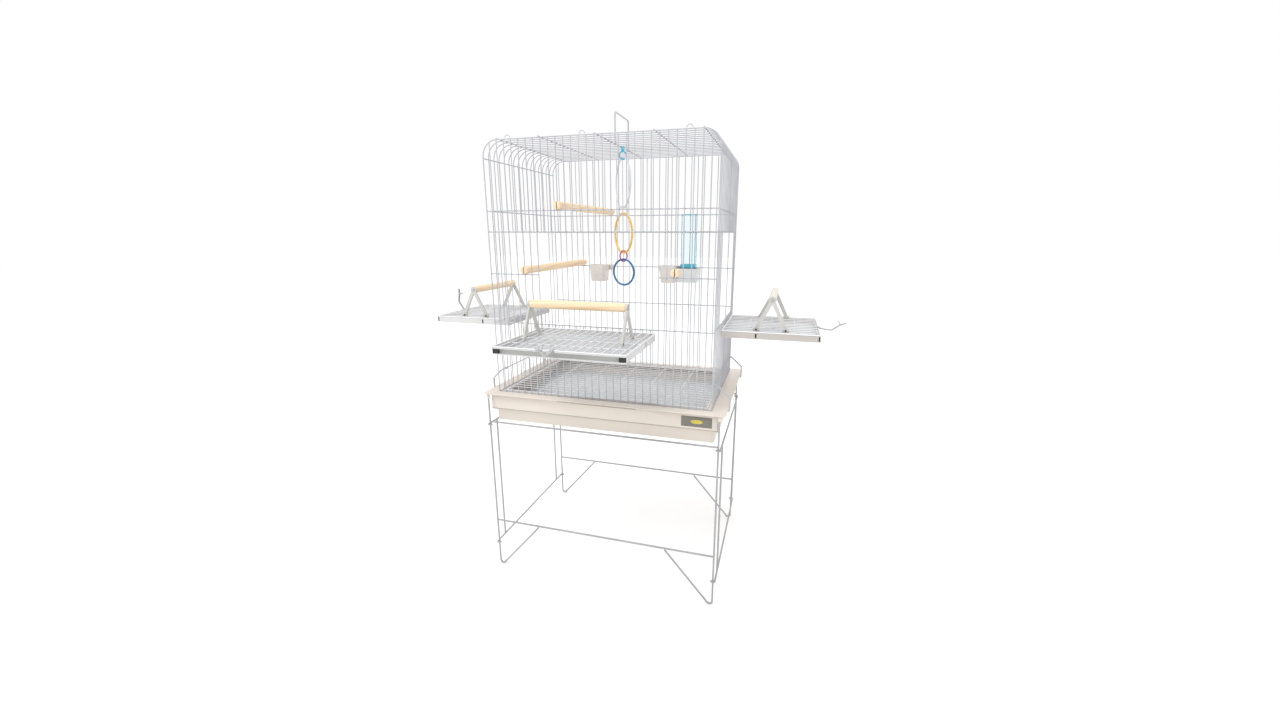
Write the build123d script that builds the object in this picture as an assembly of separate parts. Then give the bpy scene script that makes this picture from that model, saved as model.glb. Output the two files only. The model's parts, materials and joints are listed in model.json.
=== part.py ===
from build123d import *
import math
import os

# Bird cage on a bent-wire stand. Millimetres, +Z up, x to the right, -y to the front.
# The origin is on the floor, under the middle of the cage. The three fold-down doors are open.

# ---- overall sizes -------------------------------------------------------------------------
cage_width = 600.0
cage_depth = 400.0
cage_height = 658.0
stand_height = 542.0

# ---- wire sizes ----------------------------------------------------------------------------
bar_d = 2.5
rail_d = 3.0
stand_wire_d = 5.0
weld_sink = 0.1
bar_pitch = 20.0
side_bar_pitch = 25.0
roof_bend_radius = 40.0

# ---- rail heights: above the base rim, the door sill, the door opening, and below the roof --
side_rail_rise = 59.0
door_sill_rise = 198.0
back_low_rail_rise = 210.0
cup_rail_rise = 130.0
door_opening_height = 238.0
upper_rail_rise = 52.0
eave_drop = 43.0

# ---- plastic base --------------------------------------------------------------------------
rim_overhang_x = 38.0
rim_overhang_y = 30.0
rim_thickness = 3.0
rim_corner = 14.0
upper_band_height = 46.0
upper_band_side = 21.0
upper_band_end = 16.0
lower_band_height = 33.0
lower_band_side = 9.0
lower_band_end = 6.0
base_wall = 3.0
rim_ledge = 18.0
leg_socket_depth = 12.0
leg_socket_wall = 2.0
running_gap = 0.5

# ---- litter drawer -------------------------------------------------------------------------
drawer_wall = 2.0
drawer_front_thickness = 3.0
drawer_depth_inside = 28.0
drawer_side_gap = 4.0
pull_width = 220.0
pull_reach = 16.0
pull_thickness = 3.0

# ---- floor grate ---------------------------------------------------------------------------
grate_wire_d = 2.0
grate_pitch = 20.0
grate_cross_pitch = 95.0
grate_margin = 14.0

# ---- stand ---------------------------------------------------------------------------------
leg_offset_x = 23.0
leg_offset_y = 24.0
foot_bend_radius = 8.0
crossbar_height = 148.0
brace_lean = 41.0
shelf_bar_drop = 82.0
side_bar_low = 74.0
side_bar_drop = 90.0
side_upright_inset = 42.0
hook_gap = 0.1

# ---- fold-down doors -----------------------------------------------------------------------
door_overlap = 13.0
door_plane_gap = 6.8
door_edge_start = 10.0
jamb_gap = 6.0
front_door_bars = 15
side_door_bars = 10
side_door_first_bar = -4
tray_depth = 16.0
tray_wall = 2.5
tray_floor = 2.0
tray_groove = 6.0
tray_groove_lip = 2.5
tray_cap_length = 15.0
tray_cap_setback = 1.5
tray_slot_reach = 95.0
tray_slot_width = 4.5
eye_clearance = 0.1
eye_thickness = 3.0

# ---- door perches --------------------------------------------------------------------------
perch_d = 20.0
perch_end_chamfer = 1.0
perch_rise = 80.0
# which bar of the door, counted from its end, carries the bracket
front_bracket_bar = 2
side_bracket_bar = 1
bracket_thickness = 5.0
bracket_leg = 10.0
bracket_foot_spread = 72.0
bracket_boss_radius = 9.5
foot_pad_length = 16.0
foot_pad_height = 6.0
screw_shank_d = 4.0
screw_length = 22.0
screw_head_d = 9.0
screw_head_height = 2.6
screw_head_round = 1.2

# ---- door latches and base clips -----------------------------------------------------------
latch_thickness = 3.0
latch_width = 8.0
# the latch dips before the rail it hooks over, and forks past it
latch_low_before = 9.0
latch_dip = 4.0
latch_fork_past = 12.5
latch_rise = 11.0
latch_prong = 9.5
latch_prong_back = 6.0
latch_tip_past = 13.0
latch_tip_rise = 5.5
latch_bend_radius = 8.0
latch_side_gap = 1.5
# the gap between door bars that each latch stands in, counted from the door's middle
front_latch_gap = 0.5
left_latch_gap = 0.0
right_latch_gap = 1.0
# how far each latch is lifted from level
front_latch_turn = 0.0
left_latch_turn = 65.0
right_latch_turn = 0.0
clip_wire_d = 4.0
clip_bar_gap = 6
clip_bow = 16.0
clip_bow_drop = 8.0
clip_hook_reach = 6.0
clip_bend_radius = 3.0

# ---- roof ----------------------------------------------------------------------------------
roof_support_offset = 145.0
handle_wire_d = 4.0
handle_height = 81.0
handle_front_gap = -2
handle_back_gap = 2
handle_bar_gap = 1.5
roof_clip_wire_d = 2.0
roof_clip_radius = 7.0
roof_clip_end_gap = 32.0
roof_clip_offset = -30.0

# ---- inner perches -------------------------------------------------------------------------
perch_overhang = 7.0
perch_slot_gap = 1.0
perch_side_gap = 4.0
upper_perch_bar = -5
stub_perch_length = 30.0

# ---- feeding cups and drinker --------------------------------------------------------------
cup_width = 54.0
cup_reach = 54.0
cup_height = 51.0
cup_rise = 6.0
cup_wall = 2.0
cup_taper = 4.0
cup_corner = 9.0
cup_side_gap = 1.0
# the gap between the back wall's bars that the second cup's first hook goes through
cup_second_gap = 4
cup_hook_gaps = 2
# the second cup's body stands off the middle of its hooks by this much
cup_second_shift = -8.0
hook_width = 8.0
hook_thickness = 2.2
hook_drop = 6.5
ear_width = 15.0
ear_height = 18.0
tube_width = 44.0
tube_reach = 30.0
tube_height = 175.0
tube_wall = 1.6
tube_corner = 4.0
collar_height = 12.0
collar_wall = 2.0
trough_width = 60.0
trough_reach = 54.0
trough_height = 42.0
trough_wall = 2.0
trough_corner = 5.0
trough_side_gap = 5.0
trough_hook_gap = 1.75
tube_side_gap = 4.0

# ---- hanging toy ---------------------------------------------------------------------------
ring_gap = 0.8
toy_hook_ring_d = 24.0
toy_hook_wire = 4.0
toy_clip_width = 7.0
toy_clip_cover = 2.0
toy_clip_mouth = 1.7
toy_clip_gap = 1.0
toy_drop = 29.5

# name, outside diameter, thickness, turn of the ring's plane about the vertical
toy_rings = (
    ("toy_white_ring", 138.0, 5.0, 125.0),
    ("toy_link", 28.0, 3.5, 35.0),
    ("toy_yellow_ring", 114.0, 6.0, 134.0),
    ("toy_red_ring", 34.0, 4.0, 66.0),
    ("toy_blue_ring", 78.0, 6.0, 161.0),
)
toy_hook_turn = 35.0

# ---- label ---------------------------------------------------------------------------------
label_width = 78.0
label_height = 27.0
label_thickness = 1.0
label_end_gap = 14.0
label_corner = 2.0

# ---- worked-out places ---------------------------------------------------------------------
half_width = cage_width / 2
half_depth = cage_depth / 2
base_top = stand_height + rim_thickness
roof_z = base_top + cage_height
eave_z = roof_z - eave_drop
sill_z = base_top + door_sill_rise
lintel_z = sill_z + door_opening_height
cup_rail_z = sill_z + cup_rail_rise
upper_rail_z = lintel_z + upper_rail_rise
side_rail_z = base_top + side_rail_rise
floor_rail_z = base_top + rail_d / 2
# rails are welded on the inner side of the upright bars
rail_inset = (bar_d + rail_d) / 2 - weld_sink
roof_support_z = roof_z + rail_d - weld_sink
roof_bar_z = roof_support_z - (rail_d + bar_d) / 2 + weld_sink
band_low_z = stand_height - upper_band_height
base_floor_z = band_low_z - lower_band_height
leg_x = half_width + leg_offset_x
leg_y = half_depth + leg_offset_y
# a solid that is cut or joined runs past the face by this much
overrun = 1.0
hinge_x = half_width - rail_inset
hinge_y = half_depth - rail_inset
side_door_middle = (side_door_first_bar + (side_door_bars - 1) / 2) * side_bar_pitch
door_reach = door_opening_height + door_overlap
# inner perches stand on the outermost bars that clear the side doors' perches when shut
shut_perch_x = hinge_x + door_plane_gap - perch_rise
clear_x = shut_perch_x - bracket_boss_radius - perch_d / 2 - perch_side_gap
outer_perch_bar = math.floor(clear_x / bar_pitch)
# the first cup hangs beside the lower perch, and the drinker beside the second cup
cup_first_limit = -outer_perch_bar * bar_pitch + perch_d / 2 + cup_side_gap + cup_width / 2 + ear_width
cup_first_gap = math.ceil(cup_first_limit / bar_pitch - (cup_hook_gaps + 1) / 2)
cup_second_x = (cup_second_gap + (cup_hook_gaps + 1) / 2) * bar_pitch + cup_second_shift
trough_x = cup_second_x + (cup_width + trough_width) / 2 + trough_side_gap
drinker_gap = round(trough_x / bar_pitch - 0.5)
trough_hook_width = bar_pitch - bar_d - 2 * trough_hook_gap
tube_x = trough_x - trough_width / 2 + trough_wall + tube_side_gap + tube_width / 2
# the toy hangs beside the roof's middle support
toy_x = (rail_d + toy_clip_width) / 2 + toy_clip_gap


def rod(start, end, diameter):
    """A straight round bar from one point to another."""
    line = Vector(*end) - Vector(*start)
    cylinder = Cylinder(diameter / 2, line.length, align=(Align.CENTER, Align.CENTER, Align.MIN))
    return Plane(origin=start, z_dir=line) * cylinder


def bent_wire(points, diameter, radius):
    """A wire along the points with rounded bends: one solid for each straight run and bend."""
    path = FilletPolyline(*points, radius=radius)
    pieces = []
    for edge in path.edges():
        section = Plane(origin=edge @ 0, z_dir=edge % 0) * Circle(diameter / 2)
        pieces.append(sweep(section, path=edge))
    return pieces


def block(x_low, x_high, y_low, y_high, z_low, z_high):
    """A box between two corners."""
    size = (x_high - x_low, y_high - y_low, z_high - z_low)
    centre = ((x_low + x_high) / 2, (y_low + y_high) / 2, (z_low + z_high) / 2)
    return Location(centre) * Box(*size)


def upright_block(x_half, y_half, z_low, z_high, corner):
    """A box centred on the vertical axis with rounded upright edges."""
    box = block(-x_half, x_half, -y_half, y_half, z_low, z_high)
    return fillet(box.edges().filter_by(Axis.Z), corner)


def multiples(pitch, limit):
    """Whole multiples of the pitch that stay inside plus and minus the limit."""
    count = int(math.floor((limit - 0.01) / pitch))
    return [index * pitch for index in range(-count, count + 1)]


def bar_outline(start, finish, width):
    """A flat bar with round ends, from one point of a sketch to another."""
    rounds = [Pos(*point) * Circle(width / 2) for point in (start, finish)]
    return make_hull([edge for disc in rounds for edge in disc.edges()])


def eye(centre, axis, hole_d, thickness, width):
    """A round eye that turns on a wire."""
    plane = Plane(origin=centre, z_dir=axis)
    ring = Cylinder(hole_d / 2 + thickness, width) - Cylinder(hole_d / 2, width * 2)
    return plane * ring


# ---- stand ---------------------------------------------------------------------------------
def stand_end_frame(side):
    """Front (-1) or back (+1) frame: two legs, a V-bent foot each, a crossbar and a shelf bar."""
    y = side * leg_y
    # the V's corner lies under the floor, and its rounded bottom just touches it
    foot_rise = foot_bend_radius / math.tan(math.radians(brace_lean / 2)) - foot_bend_radius
    foot_z = stand_wire_d / 2 - foot_rise
    brace_z = crossbar_height - stand_wire_d + weld_sink
    brace_x = leg_x - (brace_z - foot_z) * math.tan(math.radians(brace_lean))
    pieces = []
    for end in (-1, 1):
        brace_top = (end * brace_x, y, brace_z)
        foot = (end * leg_x, y, foot_z)
        leg_top = (end * leg_x, y, stand_height)
        pieces += bent_wire([brace_top, foot, leg_top], stand_wire_d, foot_bend_radius)
    inner = leg_x - stand_wire_d / 2 + weld_sink
    for z in (crossbar_height, stand_height - shelf_bar_drop):
        pieces.append(rod((-inner, y, z), (inner, y, z), stand_wire_d))
    return pieces


def stand_side_frame(side):
    """Left (-1) or right (+1) frame: two bars whose hooks hold the legs, and two uprights."""
    reach = stand_wire_d + hook_gap
    x = side * (leg_x + reach)
    upright_y = leg_y - side_upright_inset
    bar_heights = (side_bar_low, stand_height - side_bar_drop)
    pieces = []
    for z in bar_heights:
        pieces.append(rod((x, -leg_y, z), (x, leg_y, z), stand_wire_d))
        for end in (-1, 1):
            start = (x, end * leg_y, z)
            middle = (side * leg_x, end * (leg_y + reach), z)
            finish = (side * (leg_x - reach), end * leg_y, z)
            hook = ThreePointArc(start, middle, finish)
            section = Plane(origin=start, z_dir=(0, end, 0)) * Circle(stand_wire_d / 2)
            pieces.append(sweep(section, path=hook))
    low = bar_heights[0] + stand_wire_d / 2 - weld_sink
    high = bar_heights[1] - stand_wire_d / 2 + weld_sink
    for end in (-1, 1):
        pieces.append(rod((x, end * upright_y, low), (x, end * upright_y, high), stand_wire_d))
    return pieces


# ---- plastic base --------------------------------------------------------------------------
def base_pan():
    """Stepped tub with a rim; the drawer slides in through its open front."""
    upper_x = half_width + upper_band_side
    upper_y = half_depth + upper_band_end
    lower_x = half_width + lower_band_side
    lower_y = half_depth + lower_band_end
    rim_x = half_width + rim_overhang_x
    rim_y = half_depth + rim_overhang_y
    opening_x = half_width - rim_ledge
    opening_y = half_depth - rim_ledge
    ledge_top = band_low_z + base_wall
    band_corner = rim_corner / 2
    tub = upright_block(lower_x, lower_y, base_floor_z, band_low_z + overrun, band_corner)
    tub += upright_block(upper_x, upper_y, band_low_z, stand_height + overrun, band_corner)
    tub += upright_block(rim_x, rim_y, stand_height, base_top, rim_corner)
    tub -= upright_block(lower_x - base_wall, lower_y - base_wall, base_floor_z + base_wall,
                         ledge_top + overrun, band_corner - base_wall)
    tub -= block(-upper_x + base_wall, upper_x - base_wall, -rim_y, upper_y - base_wall,
                 ledge_top, stand_height)
    tub -= block(-opening_x, opening_x, -opening_y, opening_y,
                 stand_height - overrun, base_top + overrun)
    socket_low = stand_height - leg_socket_depth
    for end_x in (-1, 1):
        for end_y in (-1, 1):
            x = end_x * leg_x
            y = end_y * leg_y
            tub += rod((x, y, socket_low), (x, y, stand_height), stand_wire_d + 2 * leg_socket_wall)
            tub -= rod((x, y, socket_low - overrun), (x, y, stand_height), stand_wire_d)
    return [tub]


def litter_drawer():
    """Shallow tray with a front panel and a pull lip, open at the top."""
    front_y = -(half_depth + upper_band_end)
    panel_x = half_width + upper_band_side - base_wall - running_gap
    tray_x = half_width + upper_band_side - base_wall - drawer_side_gap
    tray_back = half_depth + upper_band_end - base_wall - drawer_side_gap
    low = band_low_z + base_wall + running_gap
    high = stand_height - running_gap
    tray_front = front_y + drawer_front_thickness
    drawer = block(-tray_x, tray_x, tray_front - overrun, tray_back, low, low + drawer_depth_inside)
    drawer -= block(-tray_x + drawer_wall, tray_x - drawer_wall, tray_front, tray_back - drawer_wall,
                    low + drawer_wall, high)
    drawer += block(-panel_x, panel_x, front_y, tray_front, low, high)
    pull = block(-pull_width / 2, pull_width / 2, front_y - pull_reach, front_y + overrun,
                 high - pull_thickness, high)
    pull = fillet(pull.edges().filter_by(Axis.Z).sort_by(Axis.Y)[:2], pull_reach / 3)
    drawer += pull
    return [drawer]


def label_plate():
    """A blank plate on the drawer's front, near its right end."""
    front_y = -(half_depth + upper_band_end)
    right = half_width + upper_band_side - base_wall - label_end_gap
    middle_z = (band_low_z + stand_height) / 2
    plate = block(right - label_width, right, front_y - label_thickness, front_y,
                  middle_z - label_height / 2, middle_z + label_height / 2)
    return [fillet(plate.edges().filter_by(Axis.Y), label_corner)]


def floor_grate():
    """Welded wire grate that lies on the rim, over the drawer."""
    edge_x = half_width - grate_margin
    edge_y = half_depth - grate_margin
    z = base_top + rail_d / 2
    end = rail_d / 2 - weld_sink
    reach = edge_x + rail_d / 2
    pieces = []
    for side in (-1, 1):
        x = side * edge_x
        y = side * edge_y
        pieces.append(rod((-reach, y, z), (reach, y, z), rail_d))
        pieces.append(rod((x, -edge_y + end, z), (x, edge_y - end, z), rail_d))
    bar_z = z + (rail_d + grate_wire_d) / 2 - weld_sink
    cross_z = bar_z - grate_wire_d + weld_sink
    for y in multiples(grate_pitch, edge_y - grate_pitch / 2):
        pieces.append(rod((-edge_x, y, bar_z), (edge_x, y, bar_z), grate_wire_d))
    for x in multiples(grate_cross_pitch, edge_x - grate_cross_pitch / 2):
        pieces.append(rod((x, -edge_y + end, cross_z), (x, edge_y - end, cross_z), grate_wire_d))
    return pieces


# ---- wire walls and roof -------------------------------------------------------------------
def front_jamb():
    """Half the clear way through the front wall: the first full bar each side of the door."""
    return (front_door_bars + 1) / 2 * bar_pitch


def end_wall(side, rails, door):
    """Front (-1) or back (+1) wall: an arched frame wire, upright bars and rails."""
    y = side * half_depth
    rail_y = side * (half_depth - rail_inset)
    frame_points = [(-half_width, y, base_top), (-half_width, y, roof_z),
                    (half_width, y, roof_z), (half_width, y, base_top)]
    pieces = bent_wire(frame_points, rail_d, roof_bend_radius)
    bend_x = half_width - roof_bend_radius
    for x in multiples(bar_pitch, half_width - bar_pitch / 2):
        past_bend = max(0.0, abs(x) - bend_x)
        drop = roof_bend_radius - math.sqrt(roof_bend_radius ** 2 - past_bend ** 2)
        high = roof_z - drop - rail_d / 2 + weld_sink
        if door and abs(x) < front_jamb() - bar_d:
            pieces.append(rod((x, y, base_top), (x, y, sill_z + rail_d / 2), bar_d))
            pieces.append(rod((x, y, lintel_z - rail_d / 2), (x, y, high), bar_d))
        else:
            pieces.append(rod((x, y, base_top), (x, y, high), bar_d))
    for z in rails:
        if door and sill_z + rail_d < z < lintel_z - rail_d:
            for end in (-1, 1):
                jamb = (end * front_jamb(), rail_y, z)
                pieces.append(rod(jamb, (end * half_width, rail_y, z), rail_d))
        else:
            pieces.append(rod((-half_width, rail_y, z), (half_width, rail_y, z), rail_d))
    return pieces


def side_wall(side):
    """Left (-1) or right (+1) wall: upright bars up to the eave, with a door opening."""
    x = side * half_width
    rail_x = side * (half_width - rail_inset)
    reach = half_depth - rail_inset - rail_d / 2 + weld_sink
    pieces = []
    door_bars = [side_door_first_bar + index for index in range(side_door_bars)]
    for y in multiples(side_bar_pitch, half_depth - side_bar_pitch / 2):
        if round(y / side_bar_pitch) in door_bars:
            pieces.append(rod((x, y, base_top), (x, y, sill_z + rail_d / 2), bar_d))
            pieces.append(rod((x, y, lintel_z - rail_d / 2), (x, y, eave_z), bar_d))
        else:
            pieces.append(rod((x, y, base_top), (x, y, eave_z), bar_d))
    for z in (floor_rail_z, side_rail_z, sill_z, lintel_z, upper_rail_z):
        pieces.append(rod((rail_x, -reach, z), (rail_x, reach, z), rail_d))
    return pieces


def roof_panel():
    """Bars across the roof that bend down to an eave rail on each side, under five supports."""
    bend = roof_bend_radius
    pieces = []
    for y in multiples(side_bar_pitch, half_depth - side_bar_pitch / 2):
        points = [(-half_width, y, eave_z), (-half_width, y, roof_bar_z),
                  (half_width, y, roof_bar_z), (half_width, y, eave_z)]
        pieces += bent_wire(points, bar_d, bend)
    z = roof_support_z
    for x in (-half_width + bend, -roof_support_offset, 0, roof_support_offset, half_width - bend):
        pieces.append(rod((x, -half_depth, z), (x, half_depth, z), rail_d))
    rail_x = half_width - rail_inset
    reach = half_depth - rail_d / 2 + weld_sink
    for side in (-1, 1):
        pieces.append(rod((side * rail_x, -reach, eave_z), (side * rail_x, reach, eave_z), rail_d))
    return pieces


def roof_clips():
    """Small wire arches that stand on the front edge of the roof."""
    z = roof_z + (rail_d + roof_clip_wire_d) / 2 - weld_sink
    pieces = []
    end_x = half_width - roof_bend_radius - roof_clip_end_gap
    for x in (-end_x, roof_clip_offset, end_x):
        start = (x - roof_clip_radius, -half_depth, z)
        finish = (x + roof_clip_radius, -half_depth, z)
        arch = ThreePointArc(start, (x, -half_depth, z + roof_clip_radius), finish)
        section = Plane(origin=start, z_dir=(0, 0, 1)) * Circle(roof_clip_wire_d / 2)
        pieces.append(sweep(section, path=arch))
    return pieces


def carry_handle():
    """Wire bail whose two eyes turn on the roof's middle support."""
    clear = bar_d / 2 + handle_wire_d / 2 + handle_bar_gap
    front_y = handle_front_gap * side_bar_pitch + clear
    back_y = (handle_back_gap + 1) * side_bar_pitch - clear
    top = roof_z + handle_height
    eye_thick = handle_wire_d / 2
    eye_top = roof_support_z + rail_d / 2 + eye_clearance + eye_thick - weld_sink
    corner = handle_wire_d * 2
    pieces = []
    for y, inward in ((front_y, 1), (back_y, -1)):
        turn_end = (0, y + inward * 2 * corner, top)
        pieces += bent_wire([(0, y, eye_top), (0, y, top), turn_end], handle_wire_d, corner)
        pieces.append(eye((0, y, roof_support_z), (0, 1, 0), rail_d + 2 * eye_clearance,
                          eye_thick, handle_wire_d))
    start = (0, front_y + 2 * corner, top)
    finish = (0, back_y - 2 * corner, top)
    pieces.append(rod(start, finish, handle_wire_d))
    return pieces


# ---- fold-down doors -----------------------------------------------------------------------
# A door is built lying open: x along its hinge, y outwards from the wall, z up.
# The hinge wire of the wall is at x = 0, y = 0, z = sill height.
def door_bar_places(count, pitch):
    """Places of a door's bars along its hinge, spaced as the bars cut from the wall."""
    return [(index - (count - 1) / 2) * pitch for index in range(count)]


def door_half(count, pitch):
    """Half a door's width between its edge wires' centres."""
    return (count + 1) / 2 * pitch - jamb_gap


def door_plane():
    """Height of the open door's wires, below the hinge wire by the closed door's standoff."""
    return sill_z - door_plane_gap


def door_grid(count, pitch):
    """The door's wire panel, with two eyes that turn on the wall's sill rail."""
    half = door_half(count, pitch)
    z = door_plane()
    bars = door_bar_places(count, pitch)
    low_y = door_edge_start
    high_y = door_reach - rail_d / 2
    end = rail_d / 2 - weld_sink
    pieces = []
    for y in (low_y, high_y):
        pieces.append(rod((-half - rail_d / 2, y, z), (half + rail_d / 2, y, z), rail_d))
    for x in (-half, half):
        pieces.append(rod((x, low_y + end, z), (x, high_y - end, z), rail_d))
    for x in bars:
        pieces.append(rod((x, low_y + end, z), (x, high_y - end, z), bar_d))
    cross_z = z - bar_d + weld_sink
    cross_reach = half - tray_wall - running_gap
    for share in (1, 2, 3):
        y = low_y + (high_y - low_y) * share / 4
        pieces.append(rod((-cross_reach, y, cross_z), (cross_reach, y, cross_z), bar_d))
    # each eye hangs in a gap between two bars, two gaps in from the end
    for x in (bars[1] + pitch / 2, bars[-2] - pitch / 2):
        pieces.append(eye((x, 0, sill_z), (1, 0, 0), rail_d + 2 * eye_clearance,
                          eye_thickness / 2, eye_thickness))
        eye_low = sill_z - rail_d / 2 - eye_clearance - eye_thickness / 2
        start = (x, eye_thickness / 2, eye_low)
        arm_top = (x, low_y, z)
        pieces.append(rod(start, arm_top, bar_d))
    return pieces


def door_tray(count, pitch, latch_x):
    """Shallow tray under the door's wires, with a channel along its outer edge."""
    half = door_half(count, pitch)
    high = door_plane() - rail_d / 2
    low = high - tray_depth
    near = door_edge_start - rail_d / 2
    far = door_reach
    tray = block(-half, half, near, far, low, high)
    tray -= block(-half + tray_wall, half - tray_wall, near + tray_wall,
                  far - tray_groove - tray_wall, low + tray_floor, high + overrun)
    groove_low = low + tray_groove_lip
    groove_high = high - tray_groove_lip
    wide = half + overrun
    tray -= block(-wide, wide, far - tray_groove, far + overrun, groove_low, groove_high)
    slot = tray_slot_width / 2
    tray -= block(-wide, wide, tray_slot_reach - slot, tray_slot_reach + slot, groove_low, groove_high)
    notch = latch_width / 2 + latch_side_gap
    tray -= block(latch_x - notch, latch_x + notch, far - tray_groove, far + overrun,
                  groove_high - overrun, high + overrun)
    return [tray]


def tray_end_caps(count, pitch):
    """Dark end caps pushed into the two ends of the tray's channel."""
    half = door_half(count, pitch)
    high = door_plane() - rail_d / 2 - tray_groove_lip
    low = door_plane() - rail_d / 2 - tray_depth + tray_groove_lip
    pieces = []
    for end in (-1, 1):
        inner = end * (half - tray_cap_length)
        outer = end * half
        pieces.append(block(min(inner, outer), max(inner, outer), door_reach - tray_groove,
                            door_reach - tray_cap_setback, low, high))
    return pieces


def perch_bracket(place, end):
    """Moulded A-frame clipped on one door bar, with a boss for the perch's screw."""
    x = end * place
    middle = (door_edge_start + door_reach) / 2
    hub_z = door_plane() + perch_rise
    foot_z = door_plane() + bar_d / 2
    half_foot = bracket_foot_spread / 2
    plane = Plane(origin=(x, 0, 0), x_dir=(0, 1, 0), z_dir=(1, 0, 0))
    pad_low = foot_z - bar_d / 2
    pad_high = foot_z + foot_pad_height
    frame = Pos(middle, hub_z) * Circle(bracket_boss_radius)
    for way in (-1, 1):
        foot = middle + way * half_foot
        frame += bar_outline((middle, hub_z), (foot, foot_z + bracket_leg / 2), bracket_leg)
        frame += Pos(foot, (pad_low + pad_high) / 2) * Rectangle(foot_pad_length, pad_high - pad_low)
    body = extrude(plane * frame, bracket_thickness / 2, both=True)
    hole = rod((x - bracket_thickness, middle, hub_z), (x + bracket_thickness, middle, hub_z),
               screw_shank_d)
    bar = rod((x, 0, door_plane()), (x, door_reach, door_plane()), bar_d)
    return [body - hole - bar]


def door_perch(place):
    """Round wooden perch held between the two brackets, drilled for its screws."""
    half = place - bracket_thickness / 2
    middle = (door_edge_start + door_reach) / 2
    z = door_plane() + perch_rise
    dowel = rod((-half, middle, z), (half, middle, z), perch_d)
    dowel = chamfer(dowel.edges().filter_by(GeomType.CIRCLE), perch_end_chamfer)
    depth = screw_length - bracket_thickness
    for end in (-1, 1):
        bottom = (end * (half - depth), middle, z)
        dowel -= rod(bottom, (end * (half + overrun), middle, z), screw_shank_d)
    return [dowel]


def perch_screws(place):
    """Two pan-head screws through the brackets into the perch's ends."""
    outer = place + bracket_thickness / 2
    middle = (door_edge_start + door_reach) / 2
    z = door_plane() + perch_rise
    pieces = []
    for end in (-1, 1):
        seat = (end * outer, middle, z)
        shank = rod((end * (outer - screw_length), middle, z), seat, screw_shank_d)
        head = rod(seat, (end * (outer + screw_head_height), middle, z), screw_head_d)
        rims = head.edges().filter_by(GeomType.CIRCLE).sort_by(Axis.X)
        rim = rims[-1] if end > 0 else rims[0]
        pieces.append(shank + fillet(rim, screw_head_round))
    return pieces


def latch_pivot():
    """The door latch turns on the door's outer edge wire."""
    return (door_reach - rail_d / 2, door_plane())


def door_latch(gap_x, turn):
    """S-bent latch with a forked end; turn is its lift from level as it stands at rest."""
    pivot_y, pivot_z = latch_pivot()
    inner_r = rail_d / 2 + eye_clearance
    # where the upper rail passes when the door is shut
    rail_reach = upper_rail_z - sill_z - pivot_y
    fork = (rail_reach + latch_fork_past, latch_rise)
    prong = (fork[0] - latch_prong_back, fork[1] + latch_prong)
    tip = (fork[0] + latch_tip_past, fork[1] + latch_tip_rise)
    profile = Circle(inner_r + latch_thickness)
    arm = FilletPolyline((inner_r, 0), (rail_reach - latch_low_before, -latch_dip), fork,
                         radius=latch_bend_radius)
    for edge in arm.edges():
        profile += bar_outline(edge @ 0, edge @ 0.5, latch_thickness)
        profile += bar_outline(edge @ 0.5, edge @ 1, latch_thickness)
    profile += bar_outline(fork, prong, latch_thickness)
    profile += bar_outline(fork, tip, latch_thickness)
    profile -= Circle(inner_r)
    latch = extrude(Plane.YZ * profile, latch_width / 2, both=True)
    return [Pos(gap_x, pivot_y, pivot_z) * Rot(turn, 0, 0) * latch]


def door_nodes(name, count, pitch, bracket_bar, latch_gap, turn, place):
    """All the pieces of one fold-down door, moved from its own frame to its wall."""
    latch_x = latch_gap * pitch
    bracket = door_bar_places(count, pitch)[-bracket_bar]
    pieces = {
        "door_grid": door_grid(count, pitch),
        "door_tray": door_tray(count, pitch, latch_x),
        "tray_end_caps": tray_end_caps(count, pitch),
        "perch_bracket_1": perch_bracket(bracket, -1),
        "perch_bracket_2": perch_bracket(bracket, 1),
        "door_perch": door_perch(bracket),
        "perch_screws": perch_screws(bracket),
        "door_latch": door_latch(latch_x, turn),
    }
    return {name + "_" + key: [place * solid for solid in solids] for key, solids in pieces.items()}


def base_clip(side, end):
    """Bowed wire clip that turns on the side rail and hooks under the base's rim."""
    y = end * (clip_bar_gap + 0.5) * side_bar_pitch
    wire_r = clip_wire_d / 2
    eye_r = rail_d / 2 + eye_clearance
    eye_out = eye_r + wire_r
    rim_out = half_width + rim_overhang_x - hinge_x
    # the hook is low enough to swing out past the rim's lower edge
    swing = math.hypot(rim_out, side_rail_z - stand_height) + wire_r + running_gap
    out = rim_out + wire_r + running_gap
    tip = out - clip_hook_reach
    drop = math.sqrt(swing ** 2 - tip ** 2)
    path = FilletPolyline((eye_r, 0), (clip_bow, -clip_bow_drop), (out, -drop / 2), (out, -drop),
                          (tip, -drop), radius=clip_bend_radius)
    profile = Circle(eye_out)
    for edge in path.edges():
        profile += bar_outline(edge @ 0, edge @ 0.5, clip_wire_d)
        profile += bar_outline(edge @ 0.5, edge @ 1, clip_wire_d)
    profile -= Circle(eye_r)
    plane = Plane(origin=(side * hinge_x, y, side_rail_z), x_dir=(side, 0, 0), z_dir=(0, -side, 0))
    return [extrude(plane * profile, wire_r, both=True)]


# ---- inner perches -------------------------------------------------------------------------
def wall_perch(bar, rail_z):
    """Perch from front to back; the saw cut in each end holds an upright bar."""
    reach = half_depth + perch_overhang
    z = rail_z + (rail_d + perch_d) / 2
    x = bar * bar_pitch
    dowel = rod((x, -reach, z), (x, reach, z), perch_d)
    dowel = chamfer(dowel.edges().filter_by(GeomType.CIRCLE), perch_end_chamfer)
    slot = (bar_d + perch_slot_gap) / 2
    depth = half_depth - bar_d / 2 - perch_slot_gap
    for end in (-1, 1):
        near = end * depth
        far = end * (reach + overrun)
        dowel -= block(x - slot, x + slot, min(near, far), max(near, far), z - perch_d, z + perch_d)
    return [dowel]


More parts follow.
